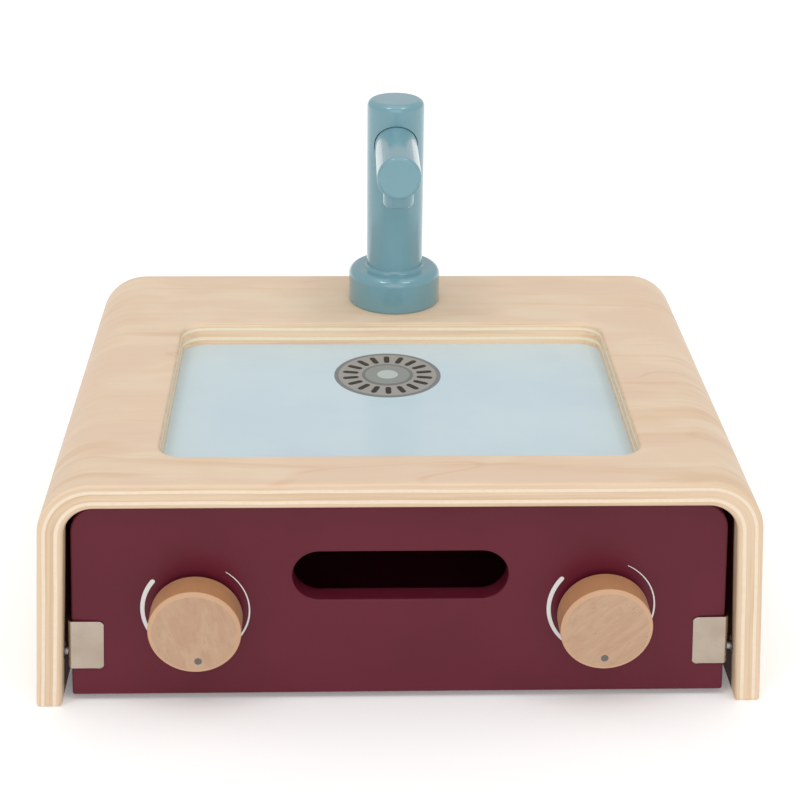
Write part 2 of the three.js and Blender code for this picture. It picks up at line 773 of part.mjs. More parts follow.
function tapGroup() {
  const group = new THREE.Group();
  group.position.set(TAP_X, TAP_Y, SHELL_HEIGHT);

  const head = new THREE.Group();
  head.position.z = SPOUT_HEIGHT;
  const nozzleMesh = piece("tap_nozzle", nozzle(), FINISH.teal);
  nozzleMesh.position.y = NOZZLE_FROM_TIP - SPOUT_REACH;
  head.add(piece("tap_spout", spout(), FINISH.teal), nozzleMesh);

  const running = TAP_BOLT.shankRadius + GAP;
  const flangeTop = -PLY - GAP;
  const flangeBottom = flangeTop - TAP_BUSH.flangeThickness;
  const bush = turned(
    [
      [running, flangeBottom],
      [TAP_BUSH.flange, flangeBottom],
      [TAP_BUSH.flange, flangeTop],
      [TAP_BUSH.radius, flangeTop],
      [TAP_BUSH.radius, -GAP],
      [running, -GAP],
      [running, flangeBottom],
    ],
    MEDIUM,
  );
  const insertTop = COLUMN_FOOT + TAP_BORE.depth - GAP;
  const insert = ringGeometry(TAP_BORE.radius - GAP, running, COLUMN_FOOT + INSERT_SUNK, insertTop);
  const washerTop = flangeBottom - GAP;
  const washerBottom = washerTop - TAP_WASHER.thickness;
  const washer = ringGeometry(TAP_WASHER.radius, running, washerBottom, washerTop);
  const headTop = washerBottom - GAP;
  const boltReach = insertTop - END_PLAY - headTop;
  const bolt = piece("tap_bolt", screwGeometry({ ...TAP_BOLT, length: boltReach }), FINISH.steel);
  bolt.rotation.x = -QUARTER_TURN; // the head faces down
  bolt.position.z = headTop;
  group.add(
    piece("tap_collar", collar(), FINISH.teal),
    piece("tap_column", column(), FINISH.teal),
    piece("tap_bush", upright(bush), FINISH.nylon),
    piece("tap_insert", upright(insert), FINISH.brass),
    piece("tap_washer", upright(washer), FINISH.steel),
    bolt,
    head,
  );
  return group;
}

// ---- Assembly ------------------------------------------------------------------------------------

const flap = new THREE.Group();
flap.position.x = FLAP_OFFSET;
flap.add(
  piece("front_panel", frontPanel(), FINISH.burgundy),
  flapSide("left", -1),
  flapSide("right", 1),
  knobGroup("left", -1),
  knobGroup("right", 1),
);

const kitchen = new THREE.Group();
kitchen.position.y = SHELL_FRONT;
kitchen.add(
  piece("plywood_shell", plywoodShell(), FINISH.plywood),
  piece("sink_board", sinkBoard(), FINISH.sinkPaint),
  piece("back_panel", backPanel(), FINISH.burgundy),
  piece("bottom_board", bottomBoard(), FINISH.burgundy),
  ...boardScrews(),
  legSide("left", -1),
  legSide("right", 1),
  flap,
  tapGroup(),
);

export default kitchen;
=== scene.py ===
"""Looks of a table-top toy kitchen: fine edges, finishes, printed marks, light and camera.

Metres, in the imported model's frame: X to the right as a player faces the front, Y to the back, Z up.
"""

import json
import math

import bmesh
import bpy
from mathutils import Matrix, Vector


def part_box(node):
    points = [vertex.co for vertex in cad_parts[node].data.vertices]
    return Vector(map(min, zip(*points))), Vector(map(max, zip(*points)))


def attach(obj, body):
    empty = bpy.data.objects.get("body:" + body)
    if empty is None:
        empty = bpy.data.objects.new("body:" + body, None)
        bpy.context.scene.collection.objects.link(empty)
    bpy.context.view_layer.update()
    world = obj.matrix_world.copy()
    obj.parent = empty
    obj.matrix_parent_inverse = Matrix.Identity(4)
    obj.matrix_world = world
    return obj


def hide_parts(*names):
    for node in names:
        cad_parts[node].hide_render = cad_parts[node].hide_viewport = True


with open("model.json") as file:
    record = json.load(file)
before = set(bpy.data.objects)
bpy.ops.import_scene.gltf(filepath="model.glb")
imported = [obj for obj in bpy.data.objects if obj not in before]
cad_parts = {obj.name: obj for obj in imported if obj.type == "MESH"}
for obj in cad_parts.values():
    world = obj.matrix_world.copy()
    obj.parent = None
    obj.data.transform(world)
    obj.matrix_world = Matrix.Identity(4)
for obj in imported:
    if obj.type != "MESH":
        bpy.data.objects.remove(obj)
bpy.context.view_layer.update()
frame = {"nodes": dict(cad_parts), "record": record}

MM = 0.001
SIDES = ("left", "right")
BODIES = frame["record"]["behaviour"]["bodies"]
BODY_OF = {node: body for body, nodes in BODIES.items() for node in nodes}
SLOT_OF = {row["node"]: row["material_slot"] for row in frame["record"]["subparts"]}

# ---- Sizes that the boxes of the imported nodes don't give ------------------------------------------

PLY = 11 * MM
BEND_RADIUS = 24 * MM
LEG_SPLAY = math.radians(4.3)
FILM = 0.06 * MM  # one layer of printed ink

SHELL_LOW, SHELL_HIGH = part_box("plywood_shell")
PANEL_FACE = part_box("front_panel")[0].y
BOARD_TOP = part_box("sink_board")[1].z

WINDOW_HALF_WIDTH = 102.7 * MM
WINDOW_HALF_LENGTH = 71.95 * MM
WINDOW_MIDDLE = SHELL_LOW.y + 98.75 * MM
DRAIN_RADIUS = 25.4 * MM
DRAIN_X = -3 * MM
DRAIN_Y = SHELL_LOW.y + 133 * MM
DRAIN_SLOTS = 18
ARC_RADIUS = 22.6 * MM
ARC_RISE = 1.6 * MM  # the arcs' middles are a little above the knobs' axes
ARC_SHIFT = 0.3 * MM
ARC_START = math.radians(141.5)
ARC_SWEEP = {"left": math.radians(273), "right": math.radians(282)}
ARC_THICK = 2.0 * MM
ARC_THIN = 0.3 * MM
DOT_RADIUS = 1.6 * MM
DOT_REACH = 13.5 * MM
DOT_TURN = {"left": math.radians(5), "right": math.radians(-1)}
CHAMFER_WIDTH = 1.8 * MM  # round each knob's face
CHAMFER_DEPTH = 1.3 * MM
KNOB_BACK_ROUND = 1.0 * MM
KNOB_SOFT = 0.5 * MM  # radius of the knob's other edges
KNOB_WOOD = {  # where each knob was turned from its plank, and how far its grain leans
    "left": ((0.31, 0.12, 0.05), math.radians(12)),
    "right": ((0.02, 0.40, 0.21), math.radians(-48)),
}


def srgb(red, green, blue):
    """A colour given as 0 to 255 display values, in Blender's linear values."""
    def linear(value):
        share = value / 255
        return share / 12.92 if share <= 0.04045 else ((share + 0.055) / 1.055) ** 2.4

    return (linear(red), linear(green), linear(blue), 1.0)


# ---- Material building blocks ---------------------------------------------------------------------


class Surface:
    """A node material with a Principled shader, and short calls for the nodes that feed it."""

    def __init__(self, name, **shader):
        self.material = bpy.data.materials.new(name)
        self.material.use_nodes = True
        self.tree = self.material.node_tree
        self.shader = self.tree.nodes["Principled BSDF"]
        for key, value in shader.items():
            socket = key.replace("_", " ").title().replace("Ior", "IOR")
            self.shader.inputs[socket].default_value = value

    def node(self, kind, inputs=None, **settings):
        made = self.tree.nodes.new("ShaderNode" + kind)
        for key, value in settings.items():
            setattr(made, key, value)
        for key, value in (inputs or {}).items():
            self.feed(made.inputs[key], value)
        return made

    def feed(self, socket, value):
        if isinstance(value, bpy.types.NodeSocket):
            self.tree.links.new(value, socket)
        else:
            socket.default_value = value

    def math(self, operation, first, second=0.0, third=0.0):
        return self.node("Math", {0: first, 1: second, 2: third}, operation=operation).outputs[0]

    def product(self, first, *others):
        for other in others:
            first = self.math("MULTIPLY", first, other)
        return first

    def distance_from(self, value, place):
        return self.math("ABSOLUTE", self.math("SUBTRACT", value, place))

    def split(self, vector):
        """The X, Y and Z of a vector."""
        return self.node("SeparateXYZ", {"Vector": vector}).outputs

    def mixed(self, share, first, second, **settings):
        made = self.node("Mix", **settings)
        self.feed(made.inputs["Factor"], share)
        self.feed(made.inputs["A"], first)
        self.feed(made.inputs["B"], second)
        return made.outputs["Result"]

    def choose(self, condition, if_true, if_false):
        """One of two values, by a condition that is 1 or 0."""
        return self.mixed(condition, if_false, if_true, data_type="FLOAT")

    def mix(self, share, first, second):
        return self.mixed(share, first, second, data_type="RGBA")

    def multiplied(self, colour, times):
        """The product of two colours, but never past white."""
        return self.mixed(1.0, colour, times, data_type="RGBA", blend_type="MULTIPLY", clamp_result=True)

    def scaled(self, vector, scale, shift=(0, 0, 0)):
        """The vector times scale, plus shift."""
        inputs = {"Vector": vector, "Scale": scale, "Location": shift}
        return self.node("Mapping", inputs, vector_type="POINT").outputs["Vector"]

    def noise(self, vector, scale=1.0, detail=3.0, roughness=0.5, distortion=0.0):
        inputs = {"Vector": vector, "Scale": scale, "Detail": detail, "Roughness": roughness,
                  "Distortion": distortion}
        return self.node("TexNoise", inputs).outputs["Fac"]

    def between(self, value, low, high, to_low=0.0, to_high=1.0):
        """value carried smoothly from the span low..high to the span to_low..to_high."""
        inputs = {"Value": value, "From Min": low, "From Max": high, "To Min": to_low, "To Max": to_high}
        return self.node("MapRange", inputs, interpolation_type="SMOOTHSTEP").outputs["Result"]

    def ramp(self, value, stops):
        made = self.node("ValToRGB", {"Fac": value})
        elements = made.color_ramp.elements
        while len(elements) < len(stops):
            elements.new(0.5)
        for element, (position, colour) in zip(elements, stops):
            element.position = position
            element.color = colour
        return made.outputs["Color"]

    def bump(self, height, strength, distance):
        made = self.node("Bump", {"Height": height, "Strength": strength, "Distance": distance})
        self.feed(self.shader.inputs["Normal"], made.outputs["Normal"])

    def colour(self, value):
        self.feed(self.shader.inputs["Base Color"], value)

    def roughness(self, value):
        self.feed(self.shader.inputs["Roughness"], value)


def object_position(surface):
    return surface.node("TexCoord").outputs["Object"]


def object_normal(surface):
    return surface.node("TexCoord").outputs["Normal"]


# ---- Materials ------------------------------------------------------------------------------------

VENEER = srgb(231, 205, 176)
VENEER_PALE = srgb(234, 211, 184)
VENEER_ROSE = srgb(230, 202, 176)
VENEER_STREAK = srgb(219, 182, 146)
PLY_TAN = srgb(225, 200, 170)
PLY_TAN_DARK = srgb(199, 166, 131)
PLY_LIGHT = srgb(236, 219, 196)
GLUE_LINE = srgb(209, 174, 136)
INNER_SHADE = srgb(84, 21, 34)  # painted shade: dark burgundy on the shell's inside
SHADE_START = SHELL_LOW.y + 7 * MM  # where the painted shade starts, just behind the front edge
SAWN_PAINTED_LIGHT = (1.31, 1.28, 1.27, 1.0)  # painted light: how much lighter the cut-out's sawn walls are drawn than the rest of the wood
PLY_EDGES = (0.20, 0.35, 0.65, 0.81)  # the glue lines, as shares of the thickness from outside
PLY_WANDER = 0.012  # how far the glue lines stray, and how softly they end, as the same shares
GLUE_REACH = 0.028
GLUE_SHADE = 0.35
GRAIN_ALONG = (9, 260, 420)  # noise cells to the metre
GRAIN_ACROSS = (420, 9, 420)


def bend_place(surface):
    """Where a point lies in the bent plywood: run round the bend, distance back, depth from outside."""
    place = surface.split(object_position(surface))
    sine, cosine = math.sin(LEG_SPLAY), math.cos(LEG_SPLAY)
    centre_z = SHELL_HIGH.z - BEND_RADIUS
    centre_x = SHELL_HIGH.x - BEND_RADIUS / cosine - centre_z * sine / cosine
    leg_start = centre_x + BEND_RADIUS * (math.pi / 2 - LEG_SPLAY)

    run_on_top = surface.math("ABSOLUTE", place["X"])
    across = surface.math("SUBTRACT", run_on_top, centre_x)
    up = surface.math("SUBTRACT", place["Z"], centre_z)
    down_leg = surface.math("SUBTRACT", surface.product(across, sine), surface.product(up, cosine))
    out_of_leg = surface.math("ADD", surface.product(across, cosine), surface.product(up, sine))
    distance = surface.math(
        "SQRT", surface.math("ADD", surface.product(across, across), surface.product(up, up)))
    turn = surface.math("ARCTAN2", across, up)

    on_leg = surface.math("GREATER_THAN", down_leg, 0.0)
    on_top = surface.math("LESS_THAN", across, 0.0)
    run_on_bend = surface.math("MULTIPLY_ADD", turn, BEND_RADIUS, centre_x)
    run = surface.choose(on_top, run_on_top, run_on_bend)
    run = surface.choose(on_leg, surface.math("ADD", down_leg, leg_start), run)
    reach = surface.choose(on_leg, out_of_leg, surface.choose(on_top, up, distance))
    depth = surface.math("SUBTRACT", BEND_RADIUS, reach)
    signed_run = surface.product(run, surface.math("SIGN", place["X"]))
    joined = surface.node("CombineXYZ", {"X": signed_run, "Y": place["Y"], "Z": depth}).outputs["Vector"]
    return joined, depth


def in_window(surface):
    """1 on the sawn walls of the sink cut-out: the upright surfaces within its outline's box."""
    place = surface.split(object_position(surface))
    facing_up = surface.split(object_normal(surface))["Z"]
    upright = surface.between(surface.math("ABSOLUTE", facing_up), 0.2, 0.9, 1.0, 0.0)
    across = surface.math("LESS_THAN", surface.math("ABSOLUTE", place["X"]), WINDOW_HALF_WIDTH)
    along = surface.math(
        "LESS_THAN", surface.distance_from(place["Y"], WINDOW_MIDDLE), WINDOW_HALF_LENGTH)
    return surface.product(upright, across, along)


def cross_layers(surface, share):
    """1 in the second and fourth veneers, whose grain runs across, and 0 in the others."""
    stops = [(0.0, (0, 0, 0, 1))]
    for i, edge in enumerate(PLY_EDGES):
        before, after = (0, 1) if i % 2 == 0 else (1, 0)
        stops += [
            (edge - PLY_WANDER, (before, before, before, 1)),
            (edge + PLY_WANDER, (after, after, after, 1)),
        ]
    return surface.ramp(share, stops)


def glue_lines(surface, share):
    """How strongly glue shows, for each depth in the plywood."""
    glue = 0.0
    for edge in PLY_EDGES:
        line = surface.between(surface.distance_from(share, edge), 0.0, GLUE_REACH, GLUE_SHADE, 0.0)
        glue = surface.math("MAXIMUM", glue, line)
    return glue


def veneer_face(surface, place, along):
    """The outermost veneer: pale clouds, rosy patches, broad figure, fine veins and fibres."""
    cloud = surface.noise(surface.scaled(place, (26, 60, 0), (5.1, 2.3, 0)), detail=3, distortion=0.5)
    rose = surface.noise(surface.scaled(place, (14, 30, 0), (2.4, 7.7, 0)), detail=2, distortion=0.4)
    figure = surface.noise(
        surface.scaled(place, (6, 62, 0), (1.7, 0.4, 0)), detail=3, roughness=0.6, distortion=0.9)
    vein = surface.noise(
        surface.scaled(place, (5, 34, 0), (0.3, 8.2, 0)), detail=1, roughness=0.4, distortion=0.7)
    vein_line = surface.between(surface.distance_from(vein, 0.56), 0.0, 0.012, 0.5, 0.0)
    vein_strength = surface.between(rose, 0.45, 0.62)

    face = surface.mix(surface.between(cloud, 0.38, 0.62), VENEER, VENEER_PALE)
    face = surface.mix(surface.between(rose, 0.42, 0.62), face, VENEER_ROSE)
    face = surface.mix(surface.between(figure, 0.50, 0.72, 0.0, 0.60), face, VENEER_STREAK)
    face = surface.mix(surface.product(vein_line, vein_strength), face, VENEER_STREAK)
    return surface.mix(surface.between(along, 0.5, 0.8, 0.0, 0.16), face, VENEER_STREAK)


def plywood():
    """Five veneers told apart by depth; each has its grain along the bend or across it, in turn."""
    surface = Surface("plywood", roughness=0.5, specular_ior_level=0.3)
    place, depth = bend_place(surface)
    wander = surface.noise(surface.scaled(place, (30, 30, 0)), detail=2)
    share = surface.math("DIVIDE", depth, PLY)
    share = surface.math("ADD", share, surface.between(wander, 0.3, 0.7, -PLY_WANDER, PLY_WANDER))
    along, across = (
        surface.noise(surface.scaled(place, cells), detail=6, roughness=0.62, distortion=0.25)
        for cells in (GRAIN_ALONG, GRAIN_ACROSS))
    cross = cross_layers(surface, share)

    tan = surface.mix(surface.between(along, 0.38, 0.68, 0.0, 0.6), PLY_TAN, PLY_TAN_DARK)
    tan = surface.mix(surface.between(share, 0.02, 0.10), veneer_face(surface, place, along), tan)
    light = surface.mix(surface.between(across, 0.35, 0.75, 0.0, 0.35), PLY_LIGHT, PLY_TAN)
    wood = surface.mix(cross, tan, light)
    wood = surface.mix(glue_lines(surface, share), wood, GLUE_LINE)

    window_walls = in_window(surface)
    # Painted light: the cut-out's sawn walls are drawn lighter than the rest of the wood, as if better
    # lit.
    wood = surface.mix(window_walls, wood, surface.multiplied(wood, SAWN_PAINTED_LIGHT))
    # Painted shade: the shell's inside faces, from just behind the front edge and away from the cut-out,
    # are drawn dark burgundy.
    inner_shade = surface.product(
        surface.between(share, 0.97, 0.99),
        surface.between(surface.split(place)["Y"], SHADE_START, SHADE_START + 2 * MM),
        surface.math("SUBTRACT", 1.0, window_walls))
    surface.colour(surface.mix(inner_shade, wood, INNER_SHADE))
    surface.roughness(surface.between(along, 0.3, 0.7, 0.42, 0.56))
    surface.bump(surface.math("ADD", along, surface.product(cross, across)), 0.10, 0.2 * MM)
    return surface.material


BEECH = srgb(184, 149, 122)
BEECH_PALE = srgb(193, 161, 134)
BEECH_DARK = srgb(170, 133, 103)
# Painted shade, together with the sides' own grain: the knobs' sides are drawn warmer and darker.
BEECH_SIDE_GRAIN_AND_SHADE = srgb(193, 140, 99)
# Painted highlight: the knobs' chamfers are drawn lighter than their faces.
BEECH_CHAMFER_HIGHLIGHT = srgb(207, 165, 129)
BEECH_FLECK = srgb(158, 119, 88)
PINE = srgb(226, 196, 150)
PINE_RINGS = srgb(196, 152, 100)
NYLON = srgb(214, 210, 200)
NYLON_PALE = srgb(228, 225, 216)
PAINT_VARIES = 0.03  # how far a paint's roughness strays either way


def beech(name, shift, turn):
    """Turned from a plank: soft rings and fibres across the face. A painted highlight lightens the
    chamfer round the face, and the sides are warmer and darker, partly from their own grain and partly
    from painted shade.
    """
    surface = Surface(name, roughness=0.5, specular_ior_level=0.3)
    lean = {"Vector": object_position(surface), "Rotation": (0, turn, 0), "Location": shift}
    place = surface.node("Mapping", lean, vector_type="POINT").outputs["Vector"]
    rings = surface.noise(surface.scaled(place, (150, 60, 45)), detail=5, roughness=0.65, distortion=1.2)
    cloud = surface.noise(surface.scaled(place, (260, 60, 150)), detail=4, roughness=0.6, distortion=0.5)
    fibre = surface.noise(surface.scaled(place, (1500, 1500, 70)), detail=3, roughness=0.7)
    fleck = surface.noise(surface.scaled(place, (1000, 1000, 260), (3, 1, 0)), detail=1)
    wood = surface.mix(surface.between(rings, 0.36, 0.64, 0.0, 0.75), BEECH, BEECH_PALE)
    wood = surface.mix(surface.between(cloud, 0.5, 0.75, 0.0, 0.35), wood, BEECH_DARK)
    wood = surface.mix(surface.between(fibre, 0.45, 0.75, 0.0, 0.20), wood, BEECH_DARK)
    wood = surface.mix(surface.between(fleck, 0.68, 0.76, 0.0, 0.35), wood, BEECH_FLECK)
    forward = surface.math("ABSOLUTE", surface.split(object_normal(surface))["Y"])
    # Painted highlight: the chamfer round the face is drawn lighter than the face.
    wood = surface.mix(surface.between(forward, 0.80, 0.98, 0.75, 0.0), wood, BEECH_CHAMFER_HIGHLIGHT)
    # Painted shade, together with the sides' own grain: the sides are drawn warmer and darker than the
    # face.
    side_grain_and_shade = surface.mix(surface.between(rings, 0.4, 0.65, 0.0, 0.4), BEECH_SIDE_GRAIN_AND_SHADE, BEECH_DARK)
    surface.colour(surface.mix(surface.between(forward, 0.1, 0.5, 1.0, 0.0), wood, side_grain_and_shade))
    surface.roughness(surface.between(fibre, 0.3, 0.7, 0.42, 0.56))
    surface.bump(fibre, 0.12, 0.15 * MM)
    return surface.material


def paint(name, colour, deep, roughness, shine, peel, coat=0.0):
    """Sprayed paint: a slight orange peel, faint clouding, and roughness that varies with it."""
    surface = Surface(name, specular_ior_level=shine, coat_weight=coat, coat_roughness=0.08)
    place = object_position(surface)
    cloud = surface.noise(place, scale=28, detail=3)
    skin = surface.noise(place, scale=320, detail=1, roughness=0.3)
    surface.colour(surface.mix(surface.between(cloud, 0.35, 0.7), colour, deep))
    surface.roughness(
        surface.between(cloud, 0.3, 0.7, roughness - PAINT_VARIES, roughness + PAINT_VARIES))
    surface.bump(skin, peel, 0.1 * MM)
    return surface.material


def metal(name, colour, worn, roughness, brushing):
    """Plated or plain metal with fine brushing and a faint mottle."""
    surface = Surface(name, metallic=1.0)
    place = object_position(surface)
    mottle = surface.noise(place, scale=90, detail=2, roughness=0.4)
    lines = surface.noise(surface.scaled(place, brushing), detail=3, roughness=0.6)
    surface.colour(surface.mix(surface.between(mottle, 0.35, 0.7), colour, worn))
    surface.roughness(surface.between(lines, 0.3, 0.7, roughness - 0.06, roughness + 0.08))
    surface.bump(lines, 0.02, 0.05 * MM)
    return surface.material


def nylon():
    """Moulded off-white plastic, slightly grainy and a little translucent."""
    depth = 2 * MM
    surface = Surface(
        "nylon", roughness=0.45, subsurface_weight=0.1, subsurface_radius=(depth, depth, depth))
    grain = surface.noise(object_position(surface), scale=1400, detail=2)
    surface.colour(surface.mix(grain, NYLON, NYLON_PALE))
    surface.bump(grain, 0.1, 0.05 * MM)
    return surface.material


def pine():
    """Planed strip with its grain upright."""
    surface = Surface("softwood", roughness=0.65, specular_ior_level=0.3)
    place = object_position(surface)
    rings = surface.noise(surface.scaled(place, (260, 260, 10)), detail=4, roughness=0.6, distortion=0.4)
    surface.colour(surface.mix(surface.between(rings, 0.4, 0.65), PINE, PINE_RINGS))
    surface.bump(rings, 0.2, 0.2 * MM)
    return surface.material


def ink(name, colour):
    """Matt printed ink, with the slight speckle of a pad print."""
    surface = Surface(name, roughness=0.55, specular_ior_level=0.3)
    speckle = surface.noise(object_position(surface), scale=2600, detail=2)
    worn = tuple(channel * 0.86 for channel in colour[:3]) + (1.0,)
    surface.colour(surface.mix(surface.between(speckle, 0.45, 0.75, 0.0, 0.6), colour, worn))
    surface.bump(speckle, 0.05, 0.03 * MM)
    return surface.material


LOOKS = {
    "plywood": plywood(),
    "sink_paint": paint("sink_paint", srgb(203, 220, 226), srgb(198, 216, 224), 0.22, 0.45, 0.05),
    "burgundy_paint": paint("burgundy_paint", srgb(96, 25, 42), srgb(92, 23, 39), 0.36, 0.25, 0.05),
    "teal_paint": paint(
        "teal_paint", srgb(115, 160, 172), srgb(111, 156, 168), 0.22, 0.5, 0.03, coat=0.7),
    "softwood": pine(),
    "nickel": metal("nickel", srgb(188, 175, 160), srgb(179, 164, 148), 0.32, (60, 60, 260)),
    "steel": metal("steel", srgb(172, 172, 174), srgb(158, 159, 163), 0.3, (700, 700, 700)),
    "brass": metal("brass", srgb(214, 184, 116), srgb(196, 162, 96), 0.30, (600, 600, 600)),
    "nylon": nylon(),
}

# ---- Meshes ---------------------------------------------------------------------------------------

CLOSED = 0.3 * MM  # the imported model's gap between pieces, closed where the eye would see it
CLOSED_BELOW = {"tap_collar", "tap_column"}
CLOSED_ABOVE = {"sink_board"}
ROUND_STEPS = 96  # sides of a turned piece or a printed circle
DOT_STEPS = 40
WELD = 0.002 * MM
FLAT_ANGLE = math.radians(0.5)  # faces that meet flatter than this become one
EDGE_ANGLE = math.radians(30)  # edges sharper than this are rounded
SMOOTH_ANGLE = math.radians(40)  # and those sharper than this stay sharp in the shading
HOLE_MARGIN = 1.2 * MM  # edges this near the box of a node in a hole stay as they are


def screws(kind):
    """The names of a kind of screw that comes two to a side."""
    return [f"{kind}_screw_{side}_{i}" for side in SIDES for i in (1, 2)]


ROUNDED = {  # radius, segments, and the nodes whose holes keep their edges
    "plywood_shell": (1.6 * MM, 5, ["sink_board", "tap_bush", "pivot_bush_left", "pivot_bush_right",
                                    *(f"board_screw_{i}" for i in range(1, 7))]),
    "bottom_board": (0.8 * MM, 2, screws("bottom")),
    "front_panel": (0.9 * MM, 3, ["knob_bolt_left", "knob_bolt_right", *screws("clip")]),
    "back_panel": (0.8 * MM, 2, screws("back")),
    "pivot_clip_left": (0.3 * MM, 2, ["pivot_pin_left", *screws("clip")]),
    "pivot_clip_right": (0.3 * MM, 2, ["pivot_pin_right", *screws("clip")]),
}


def new_object(name, work, material):
    """An object holding the finished bmesh, shaded smooth up to its sharp edges."""
    mesh = bpy.data.meshes.new(name)
    bmesh.ops.recalc_face_normals(work, faces=work.faces)
    work.to_mesh(mesh)
    work.free()
    if "custom_normal" in mesh.attributes:
        mesh.attributes.remove(mesh.attributes["custom_normal"])
    mesh.materials.append(material)
    mesh.polygons.foreach_set("use_smooth", [True] * len(mesh.polygons))
    mesh.set_sharp_from_angle(angle=SMOOTH_ANGLE)
    made = bpy.data.objects.new(name, mesh)
    bpy.context.scene.collection.objects.link(made)
    weigh = made.modifiers.new("weighted normals", "WEIGHTED_NORMAL")
    weigh.keep_sharp = True
    return made


def near_any(point, boxes):
    """Whether the point is within HOLE_MARGIN of one of the boxes."""
    return any(
        all(low[i] - HOLE_MARGIN <= point[i] <= high[i] + HOLE_MARGIN for i in range(3))
        for low, high in boxes
    )


def round_edges(work, width, segments, holes):
    """Rounds the sharp edges of a bmesh, but for those of the holes that the named nodes fill."""
    boxes = [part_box(hole) for hole in holes]
    edges = [
        edge for edge in work.edges
        if edge.is_manifold and edge.calc_face_angle() > EDGE_ANGLE
        and not near_any((edge.verts[0].co + edge.verts[1].co) / 2, boxes)
    ]
    bmesh.ops.bevel(
        work, geom=edges, offset=width, offset_type="OFFSET", segments=segments,
        profile=0.5, affect="EDGES", clamp_overlap=False, loop_slide=False)


def close_gaps(work, node):
    """Moves the node's bottom or top face onto the piece it rests against."""
    low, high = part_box(node)
    for vert in work.verts:
        if node in CLOSED_BELOW and vert.co.z < low.z + CLOSED:
            vert.co.z -= CLOSED
        if node in CLOSED_ABOVE and vert.co.z > high.z - CLOSED:
            vert.co.z += CLOSED


def stand_for(piece, node):
    """Makes the piece the visible form of the CAD node: puts it on the node's body and hides the node.
    """
    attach(piece, BODY_OF[node])
    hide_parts(node)


def refined(node):
    """The visible copy of a CAD node, with its edges rounded where ROUNDED says so."""
    work = bmesh.new()
    work.from_mesh(frame["nodes"][node].data)
    bmesh.ops.remove_doubles(work, verts=work.verts, dist=WELD)
    bmesh.ops.dissolve_limit(work, angle_limit=FLAT_ANGLE, verts=work.verts, edges=work.edges)
    if node in ROUNDED:
        round_edges(work, *ROUNDED[node])
    close_gaps(work, node)
    stand_for(new_object("look_" + node, work, LOOKS[SLOT_OF[node]]), node)


def turned(radius, angle, centre=(0, 0)):
    """The point at a radius and an angle from a centre."""
    return (centre[0] + radius * math.cos(angle), centre[1] + radius * math.sin(angle))


def lathe(profile, sides):
    """A bmesh turned about Z from (radius, height) points whose ends are on the axis."""
    work = bmesh.new()
    turn = 2 * math.pi / sides
    rings = []
    for radius, height in profile:
        if radius == 0:
            rings.append([work.verts.new((0, 0, height))])
        else:
            rings.append([work.verts.new((*turned(radius, i * turn), height)) for i in range(sides)])
    for low, high in zip(rings, rings[1:]):
        for i in range(sides):
            after = (i + 1) % sides
            corners = [
                low[i % len(low)], low[after % len(low)], high[after % len(high)], high[i % len(high)]]
            work.faces.new(list(dict.fromkeys(corners)))
    return work


def rounding(centre_radius, centre_height, radius, start, end, steps):
    """Points of a rounded edge on a lathe profile, between two angles in degrees."""
    return [
        turned(radius, math.radians(start + (end - start) * i / steps), (centre_radius, centre_height))
        for i in range(steps + 1)
    ]


# ---- Knobs ----------------------------------------------------------------------------------------

TOWARDS_PLAYER = Matrix.Rotation(math.pi / 2, 4, "X")  # turns Z to point out of the front


def make_knob(side):
    """A turned beech knob with a chamfer round its face and its other edges softened."""
    low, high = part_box(f"knob_{side}")
    middle = (low + high) / 2
    radius = (high.x - low.x) / 2
    length = high.y - low.y
    soft = KNOB_SOFT
    chamfer_turn = math.degrees(math.atan2(CHAMFER_WIDTH, CHAMFER_DEPTH))
    profile = [
        (0, 0),
        *rounding(radius - KNOB_BACK_ROUND, KNOB_BACK_ROUND, KNOB_BACK_ROUND, -90, 0, 5),
        *rounding(radius - soft, length - CHAMFER_DEPTH - soft / 2, soft, 0, chamfer_turn, 4),
        *rounding(radius - CHAMFER_WIDTH - soft / 4, length - soft, soft, chamfer_turn, 90, 4),
        (0, length),
    ]
    work = lathe(profile, ROUND_STEPS)
    place = Matrix.Translation((middle.x, high.y, middle.z)) @ TOWARDS_PLAYER
    bmesh.ops.transform(work, matrix=place, verts=work.verts)
    shift, turn = KNOB_WOOD[side]
    wood = beech(f"beech_{side}", shift, turn)
    stand_for(new_object(f"look_knob_{side}", work, wood), f"knob_{side}")


# ---- Printed marks --------------------------------------------------------------------------------

DRAIN_LAYERS = (  # name, share of the drain's radius, colour; each lies on the one before
    ("drain_rim", 1.0, srgb(128, 132, 130)),
    ("drain_plate", 0.92, srgb(163, 158, 153)),
    ("drain_slots", 0.85, srgb(58, 52, 46)),
    ("drain_ring", 0.48, srgb(124, 125, 121)),
    ("drain_cup", 0.42, srgb(148, 151, 146)),
    ("drain_middle", 0.195, srgb(190, 198, 193)),
)
SLOT_START = 0.55 * DRAIN_RADIUS
SLOT_WIDTH = 0.105 * DRAIN_RADIUS


def printed(name, outlines, place, material, body, layer):
    """Flat ink: each outline of (x, y) points becomes a thin film, layer films high, set by place."""
    work = bmesh.new()
    thickness = layer * FILM
    for outline in outlines:
        base = [work.verts.new((x, y, 0)) for x, y in outline]
        top = [work.verts.new((x, y, thickness)) for x, y in outline]
        work.faces.new(base[::-1])
        work.faces.new(top)
        for i in range(len(outline)):
            work.faces.new([base[i - 1], base[i], top[i], top[i - 1]])
    bmesh.ops.transform(work, matrix=place, verts=work.verts)
    made = new_object(name, work, material)
    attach(made, body)


def circle(radius, steps=ROUND_STEPS, centre=(0, 0)):
    return [turned(radius, 2 * math.pi * i / steps, centre) for i in range(steps)]


